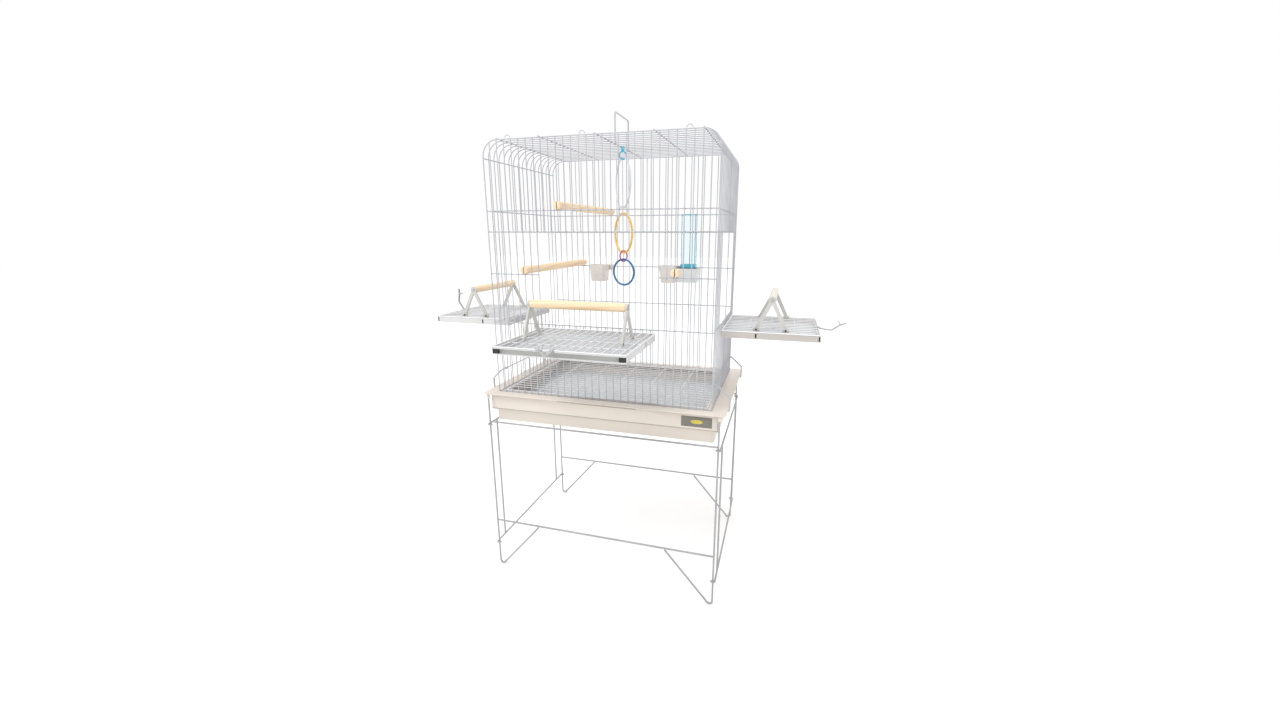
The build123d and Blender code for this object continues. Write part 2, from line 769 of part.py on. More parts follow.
def stub_perch():
    """Short perch held on one bar of the front wall."""
    reach = half_depth + perch_overhang
    z = cup_rail_z + (rail_d + perch_d) / 2
    x = outer_perch_bar * bar_pitch
    dowel = rod((x, -reach, z), (x, -reach + stub_perch_length, z), perch_d)
    dowel = chamfer(dowel.edges().filter_by(GeomType.CIRCLE), perch_end_chamfer)
    slot = (bar_d + perch_slot_gap) / 2
    slot_end = -half_depth + bar_d / 2 + perch_slot_gap
    slot_start = -reach - overrun
    return [dowel - block(x - slot, x + slot, slot_start, slot_end, z - perch_d, z + perch_d)]


# ---- feeding cups and drinker --------------------------------------------------------------
def cup_back_y():
    """The back face of everything that hangs on the cup rail."""
    return hinge_y - rail_d / 2 - running_gap - hook_thickness + weld_sink


def gap_middle(gap):
    """Middle of a gap between two upright bars of the back wall."""
    return (gap + 0.5) * bar_pitch


def rail_hook(x, width, low, body_y):
    """Hook from a body's back over the back wall's cup rail, between two bars."""
    back_y = hinge_y + rail_d / 2 + running_gap
    top = cup_rail_z + rail_d / 2 + running_gap
    half = width / 2
    lip_y = back_y + hook_thickness
    hook = block(x - half, x + half, body_y - weld_sink, hinge_y - rail_d / 2 - running_gap, low, top)
    hook += block(x - half, x + half, body_y - weld_sink, lip_y, top, top + hook_thickness)
    hook += block(x - half, x + half, back_y, lip_y, top - hook_drop, top + hook_thickness)
    return hook


def tapered_cup(half_x, half_y, height, corner):
    """A rounded rectangle that narrows downwards."""
    top = Plane.XY.offset(height) * RectangleRounded(2 * half_x, 2 * half_y, corner)
    low_corner = corner - cup_taper / 4
    low = RectangleRounded(2 * (half_x - cup_taper), 2 * (half_y - cup_taper), low_corner)
    return loft([low, top])


def feeding_cup(first_gap, shift):
    """Tapered cup with two rail hooks and an ear each side."""
    gaps = (first_gap, first_gap + cup_hook_gaps)
    x = (gap_middle(gaps[0]) + gap_middle(gaps[1])) / 2 + shift
    back = cup_back_y()
    high = cup_rail_z + cup_rise
    half_x = cup_width / 2
    half_y = cup_reach / 2
    outer = tapered_cup(half_x, half_y, cup_height, cup_corner)
    inner = tapered_cup(half_x - cup_wall, half_y - cup_wall, cup_height, cup_corner - cup_wall)
    cup = Pos(x, back - half_y, high - cup_height) * (outer - Pos(0, 0, cup_wall) * inner)
    for gap in gaps:
        cup += rail_hook(gap_middle(gap), hook_width, high - ear_height, back)
    for end in (-1, 1):
        near = x + end * (half_x - cup_corner)
        far = x + end * (half_x + ear_width)
        ear = block(min(near, far), max(near, far), back - cup_wall, back, high - ear_height, high)
        cup += ear
    return [cup]


def trough_back_y():
    """The drinker's back stands in front of the cups' ears."""
    return cup_back_y() - cup_wall - running_gap


def drinker_trough():
    """Open trough whose back half takes the tube's mouth."""
    back = trough_back_y()
    high = cup_rail_z
    low = high - trough_height
    half_x = trough_width / 2
    half_y = trough_reach / 2
    trough = upright_block(half_x, half_y, low, high, trough_corner)
    trough -= upright_block(half_x - trough_wall, half_y - trough_wall, low + trough_wall,
                            high + overrun, trough_corner - trough_wall)
    trough = Pos(trough_x, back - half_y, 0) * trough
    trough += rail_hook(gap_middle(drinker_gap), trough_hook_width, high - ear_height, back)
    return [trough]


def tube_low():
    """Height of the tube's open mouth, inside the trough."""
    return cup_rail_z - trough_height / 3


def tube_middle_y():
    """The tube stands against the trough's back wall."""
    return trough_back_y() - trough_wall - running_gap - tube_reach / 2


def drinker_tube():
    """Clear rectangular water tube, closed at the top and open at its foot."""
    low = tube_low()
    high = low + tube_height
    half_x = tube_width / 2
    half_y = tube_reach / 2
    tube = upright_block(half_x, half_y, low, high, tube_corner)
    tube -= upright_block(half_x - tube_wall, half_y - tube_wall, low - overrun, high - tube_wall,
                          tube_corner - tube_wall)
    return [Pos(tube_x, tube_middle_y(), 0) * tube]


def drinker_collar():
    """Coloured collar round the tube that rests on the trough's rim."""
    low = cup_rail_z + running_gap
    high = low + collar_height
    half_x = tube_width / 2 + collar_wall
    half_y = tube_reach / 2 + collar_wall
    collar = upright_block(half_x, half_y, low, high, tube_corner + collar_wall)
    collar -= upright_block(tube_width / 2, tube_reach / 2, low - overrun, high + overrun, tube_corner)
    return [Pos(tube_x, tube_middle_y(), 0) * collar]


# ---- hanging toy ---------------------------------------------------------------------------
def ring_solid(outside_d, thickness, turn, centre_z):
    """An upright ring whose plane is turned about the vertical."""
    ring = Torus((outside_d - thickness) / 2, thickness / 2)
    return Location((toy_x, 0, centre_z), (0, 0, turn)) * (Rot(90, 0, 0) * ring)


def toy_chain():
    """Where each ring's lowest wire is, from the hook down: name to (centre, lowest wire)."""
    low = roof_z - toy_drop
    thickness = toy_hook_wire
    chain = {"toy_hook": (low + (toy_hook_ring_d - toy_hook_wire) / 2, low)}
    for name, outside_d, ring_thickness, turn in toy_rings:
        high = low + (thickness + ring_thickness) / 2 + ring_gap
        low = high - (outside_d - ring_thickness)
        thickness = ring_thickness
        chain[name] = ((high + low) / 2, low)
    return chain


def toy_hook():
    """Clip that snaps on the roof's middle bar, with a ring below it."""
    centre_z = toy_chain()["toy_hook"][0]
    ring = ring_solid(toy_hook_ring_d, toy_hook_wire, toy_hook_turn, centre_z)
    low = centre_z + toy_hook_ring_d / 2 - toy_hook_wire
    high = roof_bar_z + bar_d / 2 + toy_clip_cover
    half = toy_clip_width / 2
    left = toy_x - half - overrun
    right = toy_x + half + overrun
    mouth = toy_clip_mouth / 2
    clip = block(toy_x - half, toy_x + half, -half, half, low, high)
    clip -= rod((left, 0, roof_bar_z), (right, 0, roof_bar_z), bar_d)
    clip -= block(left, right, 0, half + overrun, roof_bar_z - mouth, roof_bar_z + mouth)
    return [ring + clip]


# ---- all the pieces ------------------------------------------------------------------------
front_rails = (floor_rail_z, sill_z, cup_rail_z, lintel_z, upper_rail_z)
back_rails = (floor_rail_z, base_top + back_low_rail_rise, cup_rail_z, lintel_z, upper_rail_z)
nodes = {
    "stand_front_frame": stand_end_frame(-1),
    "stand_back_frame": stand_end_frame(1),
    "stand_left_frame": stand_side_frame(-1),
    "stand_right_frame": stand_side_frame(1),
    "base_pan": base_pan(),
    "litter_drawer": litter_drawer(),
    "label_plate": label_plate(),
    "floor_grate": floor_grate(),
    "front_wall": end_wall(-1, front_rails, True),
    "back_wall": end_wall(1, back_rails, False),
    "left_wall": side_wall(-1),
    "right_wall": side_wall(1),
    "roof_panel": roof_panel(),
    "roof_clips": roof_clips(),
    "carry_handle": carry_handle(),
    "upper_perch": wall_perch(upper_perch_bar, upper_rail_z),
    "lower_perch": wall_perch(-outer_perch_bar, cup_rail_z),
    "stub_perch": stub_perch(),
    "feeding_cup_left": feeding_cup(cup_first_gap, 0.0),
    "feeding_cup_right": feeding_cup(cup_second_gap, cup_second_shift),
    "drinker_trough": drinker_trough(),
    "drinker_tube": drinker_tube(),
    "drinker_collar": drinker_collar(),
    "toy_hook": toy_hook(),
    "base_clip_left_front": base_clip(-1, -1),
    "base_clip_left_back": base_clip(-1, 1),
    "base_clip_right_front": base_clip(1, -1),
    "base_clip_right_back": base_clip(1, 1),
}

for ring_name, ring_d, ring_thickness, ring_turn in toy_rings:
    ring_z = toy_chain()[ring_name][0]
    nodes[ring_name] = [ring_solid(ring_d, ring_thickness, ring_turn, ring_z)]

front_place = Location((0, -hinge_y, 0), (0, 0, 180))
left_place = Location((-hinge_x, side_door_middle, 0), (0, 0, 90))
right_place = Location((hinge_x, side_door_middle, 0), (0, 0, -90))
nodes.update(door_nodes("front", front_door_bars, bar_pitch, front_bracket_bar,
                        front_latch_gap, front_latch_turn, front_place))
nodes.update(door_nodes("left", side_door_bars, side_bar_pitch, side_bracket_bar,
                        left_latch_gap, left_latch_turn, left_place))
nodes.update(door_nodes("right", side_door_bars, side_bar_pitch, side_bracket_bar,
                        right_latch_gap, right_latch_turn, right_place))

if __name__ == "__main__":
    os.makedirs("parts", exist_ok=True)
    for node_name, solids in nodes.items():
        export_step(Compound(children=solids), "parts/" + node_name + ".step")
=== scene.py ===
import bpy
import json
import math
from mathutils import Matrix, Vector


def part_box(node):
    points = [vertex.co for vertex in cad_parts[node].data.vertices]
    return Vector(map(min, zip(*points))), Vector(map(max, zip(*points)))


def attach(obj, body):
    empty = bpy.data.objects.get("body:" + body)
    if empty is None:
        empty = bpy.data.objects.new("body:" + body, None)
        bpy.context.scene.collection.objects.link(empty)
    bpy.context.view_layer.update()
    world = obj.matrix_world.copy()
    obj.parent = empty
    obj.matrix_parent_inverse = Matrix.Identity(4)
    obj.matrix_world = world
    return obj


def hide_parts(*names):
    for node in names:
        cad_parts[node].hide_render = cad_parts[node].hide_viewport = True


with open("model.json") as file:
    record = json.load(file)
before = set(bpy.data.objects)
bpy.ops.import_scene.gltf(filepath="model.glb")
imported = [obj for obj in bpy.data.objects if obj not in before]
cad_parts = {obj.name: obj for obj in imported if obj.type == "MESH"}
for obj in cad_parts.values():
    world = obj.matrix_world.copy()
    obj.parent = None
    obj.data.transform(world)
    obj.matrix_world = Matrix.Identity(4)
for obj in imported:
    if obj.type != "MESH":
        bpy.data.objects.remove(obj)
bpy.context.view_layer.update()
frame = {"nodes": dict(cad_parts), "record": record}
bodyOf = {node: body for body, nodes in frame["record"]["behaviour"]["bodies"].items() for node in nodes}
print("stage: frame loaded,", len(bodyOf), "nodes")


helperValues = dict(bevelAngle=35, softAngle=40, weldGap=0.00001, flatAngle=0.5, facing=0.9)


def clearPick():
    if bpy.context.mode != "OBJECT":
        bpy.ops.object.mode_set(mode="OBJECT")
    bpy.ops.object.select_all(action="DESELECT")


def pick(piece):
    clearPick()
    piece.select_set(True)
    bpy.context.view_layer.objects.active = piece


def named(name):
    piece = bpy.context.active_object
    piece.name = name
    piece.data.name = name
    return piece


def applyPlace(piece):
    pick(piece)
    bpy.ops.object.transform_apply(location=True, rotation=True, scale=True)


def smoothByAngle(piece, degrees):
    pick(piece)
    bpy.ops.object.shade_smooth_by_angle(angle=math.radians(degrees))


def dress(piece, material):
    piece.data.materials.clear()
    piece.data.materials.append(material)


def roundEdges(piece, width, segments):
    pick(piece)
    bevel = piece.modifiers.new("edge", "BEVEL")
    bevel.width = width
    bevel.segments = segments
    bevel.limit_method = "ANGLE"
    bevel.angle_limit = math.radians(helperValues["bevelAngle"])
    bevel.harden_normals = False
    bpy.ops.object.modifier_apply(modifier="edge")


# a merged copy of a frame node, ready for softer edges
def mergedCopy(node, name):
    mesh = frame["nodes"][node].data.copy()
    piece = bpy.data.objects.new(name, mesh)
    bpy.context.scene.collection.objects.link(piece)
    pick(piece)
    mesh.name = name
    bpy.ops.mesh.customdata_custom_splitnormals_clear()
    bpy.ops.object.mode_set(mode="EDIT")
    bpy.ops.mesh.select_all(action="SELECT")
    bpy.ops.mesh.remove_doubles(threshold=helperValues["weldGap"])
    bpy.ops.mesh.dissolve_limited(angle_limit=math.radians(helperValues["flatAngle"]))
    bpy.ops.object.mode_set(mode="OBJECT")
    return piece


def standFor(piece, node, material):
    dress(piece, material)
    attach(piece, bodyOf[node])
    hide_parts(node)
    return piece


# a frame node with rounded edges and its own finish
def softCopy(node, name, width, segments, material):
    piece = mergedCopy(node, name)
    roundEdges(piece, width, segments)
    smoothByAngle(piece, helperValues["softAngle"])
    return standFor(piece, node, material)


# the parts become one piece
def joined(parts, name):
    clearPick()
    for part in parts:
        part.select_set(True)
    bpy.context.view_layer.objects.active = parts[0]
    bpy.ops.object.join()
    return named(name)


def camelName(node):
    words = node.split("_")
    return words[0] + "".join(word.capitalize() for word in words[1:])


# node groups that the materials share
def newGroup(name, inputs, outputs):
    group = bpy.data.node_groups.new(name, "ShaderNodeTree")
    for label, kind, value in inputs:
        socket = group.interface.new_socket(name=label, in_out="INPUT", socket_type=kind)
        if value is not None:
            socket.default_value = value
    for label, kind in outputs:
        group.interface.new_socket(name=label, in_out="OUTPUT", socket_type=kind)
    return group, group.nodes.new("NodeGroupInput"), group.nodes.new("NodeGroupOutput")


def addNoise(tree, vector, detail, roughness=0.5):
    noise = tree.nodes.new("ShaderNodeTexNoise")
    noise.inputs["Detail"].default_value = detail
    noise.inputs["Roughness"].default_value = roughness
    tree.links.new(vector, noise.inputs["Vector"])
    return noise


def addRange(tree, value, low, high, toLow=0.0, toHigh=1.0):
    node = tree.nodes.new("ShaderNodeMapRange")
    node.inputs["From Min"].default_value = low
    node.inputs["From Max"].default_value = high
    node.inputs["To Min"].default_value = toLow
    node.inputs["To Max"].default_value = toHigh
    tree.links.new(value, node.inputs["Value"])
    return node.outputs["Result"]


def addMath(tree, operation, first, second):
    node = tree.nodes.new("ShaderNodeMath")
    node.operation = operation
    for place, value in enumerate((first, second)):
        if isinstance(value, (int, float)):
            node.inputs[place].default_value = value
        else:
            tree.links.new(value, node.inputs[place])
    return node.outputs["Value"]


def addMix(tree, factor, first, second):
    node = tree.nodes.new("ShaderNodeMix")
    node.data_type = "RGBA"
    lower, upper = [socket for socket in node.inputs if socket.type == "RGBA"]
    tree.links.new(factor, node.inputs["Factor"])
    tree.links.new(first, lower)
    tree.links.new(second, upper)
    return next(socket for socket in node.outputs if socket.type == "RGBA")


def addBump(tree, height, strength, distance):
    node = tree.nodes.new("ShaderNodeBump")
    node.inputs["Distance"].default_value = distance
    if isinstance(strength, (int, float)):
        node.inputs["Strength"].default_value = strength
    else:
        tree.links.new(strength, node.inputs["Strength"])
    tree.links.new(height, node.inputs["Height"])
    return node.outputs["Normal"]


wearValues = dict(broadDetail=3.0, grainDetail=2.0, grainRough=0.6, rubDetail=5.0, rubRough=0.65,
                  rubScale=3.7, tone=(0.32, 0.7), speck=(0.62, 0.8), speckMost=0.35,
                  rub=(0.35, 0.68), grainDepth=0.0004)


# mottled paint or plastic: broad tone, fine grain and faint rubbed patches
def buildSurfaceGroup():
    group, start, end = newGroup(
        "surfaceWear",
        [("Vector", "NodeSocketVector", None), ("Light Colour", "NodeSocketColor", (0.8, 0.8, 0.8, 1)),
         ("Deep Colour", "NodeSocketColor", (0.7, 0.7, 0.7, 1)), ("Patch Scale", "NodeSocketFloat", 12.0),
         ("Grain Scale", "NodeSocketFloat", 900.0), ("Grain", "NodeSocketFloat", 0.2),
         ("Smooth", "NodeSocketFloat", 0.3), ("Rough", "NodeSocketFloat", 0.45)],
        [("Colour", "NodeSocketColor"), ("Roughness", "NodeSocketFloat"), ("Normal", "NodeSocketVector")])
    broad = addNoise(group, start.outputs["Vector"], wearValues["broadDetail"])
    group.links.new(start.outputs["Patch Scale"], broad.inputs["Scale"])
    fine = addNoise(group, start.outputs["Vector"], wearValues["grainDetail"], wearValues["grainRough"])
    group.links.new(start.outputs["Grain Scale"], fine.inputs["Scale"])
    rubbed = addNoise(group, start.outputs["Vector"], wearValues["rubDetail"], wearValues["rubRough"])
    rubScale = addMath(group, "MULTIPLY", start.outputs["Patch Scale"], wearValues["rubScale"])
    group.links.new(rubScale, rubbed.inputs["Scale"])
    tone = addRange(group, broad.outputs["Fac"], *wearValues["tone"])
    speck = addRange(group, fine.outputs["Fac"], *wearValues["speck"], 0.0, wearValues["speckMost"])
    shade = addMath(group, "MAXIMUM", tone, speck)
    colour = addMix(group, shade, start.outputs["Light Colour"], start.outputs["Deep Colour"])
    group.links.new(colour, end.inputs["Colour"])
    spread = addMath(group, "SUBTRACT", start.outputs["Rough"], start.outputs["Smooth"])
    worn = addMath(group, "MULTIPLY", addRange(group, rubbed.outputs["Fac"], *wearValues["rub"]), spread)
    group.links.new(addMath(group, "ADD", worn, start.outputs["Smooth"]), end.inputs["Roughness"])
    grain = addBump(group, fine.outputs["Fac"], start.outputs["Grain"], wearValues["grainDepth"])
    group.links.new(grain, end.inputs["Normal"])
    return group


grainValues = dict(stretch=(1.0, 1.0, 0.06), wanderDetail=3.0, wanderScale=70.0, wander=(0.4, 0.75),
                   wanderMost=0.35, bend=5.0, ringDetail=3.0, ringDetailScale=1.4, rings=(0.3, 0.95),
                   ringShare=0.75, fibreDetail=5.0, fibreRough=0.7, fibreScale=1400.0, fibre=(0.6, 0.8),
                   fibreMost=0.3, darkest=1.2, roughLight=0.62, roughDark=0.5, depth=0.0003, strength=0.25)


# growth rings and long fibres of a turned softwood rod, which runs along the vector's Z
def buildPineGroup():
    group, start, end = newGroup(
        "pineGrain",
        [("Vector", "NodeSocketVector", None), ("Early Wood", "NodeSocketColor", (0.85, 0.62, 0.38, 1)),
         ("Late Wood", "NodeSocketColor", (0.7, 0.45, 0.22, 1)), ("Ring Scale", "NodeSocketFloat", 90.0)],
        [("Colour", "NodeSocketColor"), ("Roughness", "NodeSocketFloat"), ("Normal", "NodeSocketVector")])
    stretch = group.nodes.new("ShaderNodeMapping")
    stretch.inputs["Scale"].default_value = grainValues["stretch"]
    group.links.new(start.outputs["Vector"], stretch.inputs["Vector"])
    wander = addNoise(group, stretch.outputs["Vector"], grainValues["wanderDetail"])
    wander.inputs["Scale"].default_value = grainValues["wanderScale"]
    rings = group.nodes.new("ShaderNodeTexWave")
    rings.wave_type = "BANDS"
    rings.bands_direction = "DIAGONAL"
    rings.inputs["Distortion"].default_value = grainValues["bend"]
    rings.inputs["Detail"].default_value = grainValues["ringDetail"]
    rings.inputs["Detail Scale"].default_value = grainValues["ringDetailScale"]
    group.links.new(stretch.outputs["Vector"], rings.inputs["Vector"])
    group.links.new(start.outputs["Ring Scale"], rings.inputs["Scale"])
    fibres = addNoise(group, stretch.outputs["Vector"], grainValues["fibreDetail"], grainValues["fibreRough"])
    fibres.inputs["Scale"].default_value = grainValues["fibreScale"]
    ringTone = addRange(group, rings.outputs["Fac"], *grainValues["rings"])
    bands = addMath(group, "MULTIPLY", ringTone, grainValues["ringShare"])
    drift = addRange(group, wander.outputs["Fac"], *grainValues["wander"], 0.0, grainValues["wanderMost"])
    mixed = addMath(group, "ADD", bands, drift)
    thread = addRange(group, fibres.outputs["Fac"], *grainValues["fibre"], 0.0, grainValues["fibreMost"])
    dark = addMath(group, "ADD", mixed, thread)
    late = addRange(group, dark, 0.0, grainValues["darkest"])
    colour = addMix(group, late, start.outputs["Early Wood"], start.outputs["Late Wood"])
    group.links.new(colour, end.inputs["Colour"])
    rough = addRange(group, dark, 0.0, 1.0, grainValues["roughLight"], grainValues["roughDark"])
    group.links.new(rough, end.inputs["Roughness"])
    group.links.new(addBump(group, dark, grainValues["strength"], grainValues["depth"]), end.inputs["Normal"])
    return group


# settings for the painted shade mask under steps and rims
stepShadeMaskValues = dict(edge=-0.15, patchDetail=3.0, patchScale=60.0, patch=(0.2, 0.8), patchLeast=0.7)


# painted shade just under a step or a rim, where the overhang above would shade the surface; noise makes it
# patchy
def buildStepShadeGroup():
    group, start, end = newGroup(
        "seamGrime",
        [("Vector", "NodeSocketVector", None), ("Colour", "NodeSocketColor", (0.8, 0.8, 0.8, 1)),
         ("Shade Colour", "NodeSocketColor", (0.3, 0.27, 0.22, 1)), ("Height", "NodeSocketFloat", 0.5),
         ("Reach", "NodeSocketFloat", 0.004), ("Amount", "NodeSocketFloat", 0.6)],
        [("Colour", "NodeSocketColor")])
    split = group.nodes.new("ShaderNodeSeparateXYZ")
    group.links.new(start.outputs["Vector"], split.inputs["Vector"])
    below = addMath(group, "SUBTRACT", start.outputs["Height"], split.outputs["Z"])
    share = addMath(group, "DIVIDE", below, start.outputs["Reach"])
    under = addMath(group, "GREATER_THAN", share, stepShadeMaskValues["edge"])
    fade = addRange(group, share, 0.0, 1.0, 1.0, 0.0)
    patchy = addNoise(group, start.outputs["Vector"], stepShadeMaskValues["patchDetail"])
    patchy.inputs["Scale"].default_value = stepShadeMaskValues["patchScale"]
    uneven = addRange(group, patchy.outputs["Fac"], *stepShadeMaskValues["patch"], stepShadeMaskValues["patchLeast"], 1.0)
    amount = addMath(group, "MULTIPLY", addMath(group, "MULTIPLY", fade, under), start.outputs["Amount"])
    mask = addMath(group, "MULTIPLY", amount, uneven)
    colour = addMix(group, mask, start.outputs["Colour"], start.outputs["Shade Colour"])
    group.links.new(colour, end.inputs["Colour"])
    return group


surfaceGroup = buildSurfaceGroup()
stepShadeGroup = buildStepShadeGroup()
pineGroup = buildPineGroup()


def newMaterial(name):
    material = bpy.data.materials.new(name)
    material.use_nodes = True
    tree = material.node_tree
    shader = tree.nodes["Principled BSDF"]
    place = tree.nodes.new("ShaderNodeTexCoord")
    return material, tree, shader, place.outputs["Object"]


usualValues = dict(patch=12.0, grainScale=900.0, grain=0.2, coatRough=0.1, ior=1.47)


# one finish from the shared surface group; what it leaves out is as in usualValues
def surfaceMaterial(name, values):
    material, tree, shader, place = newMaterial(name)
    effect = tree.nodes.new("ShaderNodeGroup")
    effect.node_tree = surfaceGroup
    tree.links.new(place, effect.inputs["Vector"])
    effect.inputs["Light Colour"].default_value = (*values["light"], 1)
    effect.inputs["Deep Colour"].default_value = (*values["deep"], 1)
    effect.inputs["Patch Scale"].default_value = values.get("patch", usualValues["patch"])
    effect.inputs["Grain Scale"].default_value = values.get("grainScale", usualValues["grainScale"])
    effect.inputs["Grain"].default_value = values.get("grain", usualValues["grain"])
    effect.inputs["Smooth"].default_value = values["smooth"]
    effect.inputs["Rough"].default_value = values["rough"]
    tree.links.new(effect.outputs["Colour"], shader.inputs["Base Color"])
    tree.links.new(effect.outputs["Roughness"], shader.inputs["Roughness"])
    tree.links.new(effect.outputs["Normal"], shader.inputs["Normal"])
    shader.inputs["Metallic"].default_value = values.get("metal", 0.0)
    shader.inputs["Coat Weight"].default_value = values.get("coat", 0.0)
    shader.inputs["Coat Roughness"].default_value = values.get("coatRough", usualValues["coatRough"])
    shader.inputs["IOR"].default_value = usualValues["ior"]
    return material


# painted shade lines at the given heights, laid over a finish
def addStepShades(material, heights, values):
    tree = material.node_tree
    shader = tree.nodes["Principled BSDF"]
    place = next(node for node in tree.nodes if node.type == "TEX_COORD").outputs["Object"]
    colour = shader.inputs["Base Color"].links[0].from_socket
    for height in heights:
        shadeNode = tree.nodes.new("ShaderNodeGroup")
        shadeNode.node_tree = stepShadeGroup
        tree.links.new(place, shadeNode.inputs["Vector"])
        tree.links.new(colour, shadeNode.inputs["Colour"])
        shadeNode.inputs["Shade Colour"].default_value = (*values["grime"], 1)
        shadeNode.inputs["Height"].default_value = height
        shadeNode.inputs["Reach"].default_value = values["reach"]
        shadeNode.inputs["Amount"].default_value = values["amount"]
        colour = shadeNode.outputs["Colour"]
    tree.links.new(colour, shader.inputs["Base Color"])


def pineMaterial(name, values, turn):
    material, tree, shader, place = newMaterial(name)
    aim = tree.nodes.new("ShaderNodeMapping")
    aim.inputs["Rotation"].default_value = turn
    effect = tree.nodes.new("ShaderNodeGroup")
    effect.node_tree = pineGroup
    effect.inputs["Early Wood"].default_value = (*values["early"], 1)
    effect.inputs["Late Wood"].default_value = (*values["late"], 1)
    effect.inputs["Ring Scale"].default_value = values["rings"]
    tree.links.new(place, aim.inputs["Vector"])
    tree.links.new(aim.outputs["Vector"], effect.inputs["Vector"])
    tree.links.new(effect.outputs["Colour"], shader.inputs["Base Color"])
    tree.links.new(effect.outputs["Roughness"], shader.inputs["Roughness"])
    tree.links.new(effect.outputs["Normal"], shader.inputs["Normal"])
    return material


finishes = {
    # the first three finishes are copies of one white powder coat: the first darkened as painted shade for
    # the shaded wires of walls and roof, the second darker for the stand, the third painted lighter as lit
    # white for the door grids and floor grate
    "whiteWire": dict(light=(0.47, 0.475, 0.50), deep=(0.38, 0.385, 0.415), smooth=0.3, rough=0.42,
                      patch=9.0, grainScale=1300.0, grain=0.25, coat=0.25, coatRough=0.25),
    "standWire": dict(light=(0.36, 0.36, 0.37), deep=(0.28, 0.28, 0.29), smooth=0.3, rough=0.42,
                      patch=9.0, grainScale=1300.0, grain=0.25, coat=0.25, coatRough=0.25),
    "litWhiteWire": dict(light=(0.78, 0.785, 0.80), deep=(0.70, 0.705, 0.72), smooth=0.3, rough=0.42,
                       patch=9.0, grainScale=1300.0, grain=0.25, coat=0.25, coatRough=0.25),
    "creamBase": dict(light=(0.69, 0.63, 0.565), deep=(0.65, 0.585, 0.52), smooth=0.34, rough=0.5,
                      patch=5.0, grainScale=1600.0, grain=0.12),
    "drawerFloor": dict(light=(0.58, 0.60, 0.61), deep=(0.51, 0.53, 0.545), smooth=0.34, rough=0.5,
                        patch=6.0, grainScale=1600.0, grain=0.15),
    "trayWhite": dict(light=(0.61, 0.61, 0.60), deep=(0.54, 0.54, 0.535), smooth=0.32, rough=0.48,
                      patch=7.0, grainScale=1500.0, grain=0.12),
    "trayTaupe": dict(light=(0.50, 0.465, 0.44), deep=(0.44, 0.41, 0.385), smooth=0.32, rough=0.48,
                      patch=7.0, grainScale=1500.0, grain=0.12),
    "trayFloor": dict(light=(0.57, 0.58, 0.59), deep=(0.50, 0.51, 0.52), smooth=0.34, rough=0.5,
                      patch=9.0, grainScale=1500.0, grain=0.15),
    # painted shade for the inside of the door trays' channels
    "trayRecessShade": dict(light=(0.48, 0.48, 0.46), deep=(0.38, 0.38, 0.37), smooth=0.4, rough=0.6,
                       patch=12.0, grainScale=1500.0, grain=0.15),
    "trayCap": dict(light=(0.03, 0.03, 0.03), deep=(0.015, 0.015, 0.015), smooth=0.5, rough=0.7, grain=0.3),
    "bracketWhite": dict(light=(0.56, 0.55, 0.52), deep=(0.49, 0.48, 0.455), smooth=0.3, rough=0.45,
                         patch=10.0, grainScale=1500.0, grain=0.12),
    "screwSteel": dict(light=(0.52, 0.52, 0.51), deep=(0.40, 0.40, 0.40), smooth=0.25, rough=0.4, metal=0.6),
    "footPlugDark": dict(light=(0.10, 0.10, 0.10), deep=(0.05, 0.05, 0.05), smooth=0.4, rough=0.6),
    "latchWhite": dict(light=(0.42, 0.425, 0.43), deep=(0.34, 0.345, 0.355), smooth=0.25, rough=0.4,
                       patch=14.0, coat=0.3),
    "cupBeige": dict(light=(0.68, 0.635, 0.60), deep=(0.63, 0.585, 0.55), smooth=0.22, rough=0.36,
                     patch=16.0, grain=0.08, coat=0.2),
    "troughGrey": dict(light=(0.64, 0.66, 0.66), deep=(0.58, 0.60, 0.60), smooth=0.18, rough=0.32,
                       patch=16.0, grain=0.06, coat=0.3),
    "collarTeal": dict(light=(0.10, 0.47, 0.60), deep=(0.06, 0.38, 0.52), smooth=0.15, rough=0.3,
                       patch=18.0, grain=0.06, coat=0.4),
    # painted tint and shade for the clear tube's edges
    "tubeEdgeTeal": dict(light=(0.12, 0.50, 0.62), deep=(0.08, 0.42, 0.55), smooth=0.08, rough=0.2,
                         patch=18.0, grain=0.03, coat=0.5),
    "toyTeal": dict(light=(0.08, 0.50, 0.66), deep=(0.05, 0.42, 0.58), smooth=0.12, rough=0.28,
                    patch=20.0, grain=0.06, coat=0.5),
    "toyWhite": dict(light=(0.62, 0.63, 0.66), deep=(0.55, 0.56, 0.60), smooth=0.15, rough=0.3,
                     patch=20.0, grain=0.06, coat=0.4),
    "toyYellow": dict(light=(0.80, 0.47, 0.05), deep=(0.70, 0.37, 0.03), smooth=0.12, rough=0.28,
                      patch=20.0, grain=0.06, coat=0.5),
    "toyRed": dict(light=(0.44, 0.06, 0.20), deep=(0.34, 0.04, 0.18), smooth=0.12, rough=0.28,
                   patch=20.0, grain=0.06, coat=0.5),
    "toyBlue": dict(light=(0.02, 0.16, 0.37), deep=(0.015, 0.12, 0.30), smooth=0.12, rough=0.28,
                    patch=20.0, grain=0.06, coat=0.5),
    "labelGrey": dict(light=(0.20, 0.19, 0.165), deep=(0.15, 0.145, 0.125), smooth=0.35, rough=0.5,
                      patch=40.0),
    "labelYellow": dict(light=(0.62, 0.52, 0.10), deep=(0.52, 0.43, 0.07), smooth=0.35, rough=0.5,
                        patch=40.0),
    "floorPale": dict(light=(0.93, 0.93, 0.93), deep=(0.91, 0.91, 0.91), smooth=0.75, rough=0.9,
                      patch=0.8, grainScale=60.0, grain=0.02),
}
mat = {name: surfaceMaterial(name, values) for name, values in finishes.items()}

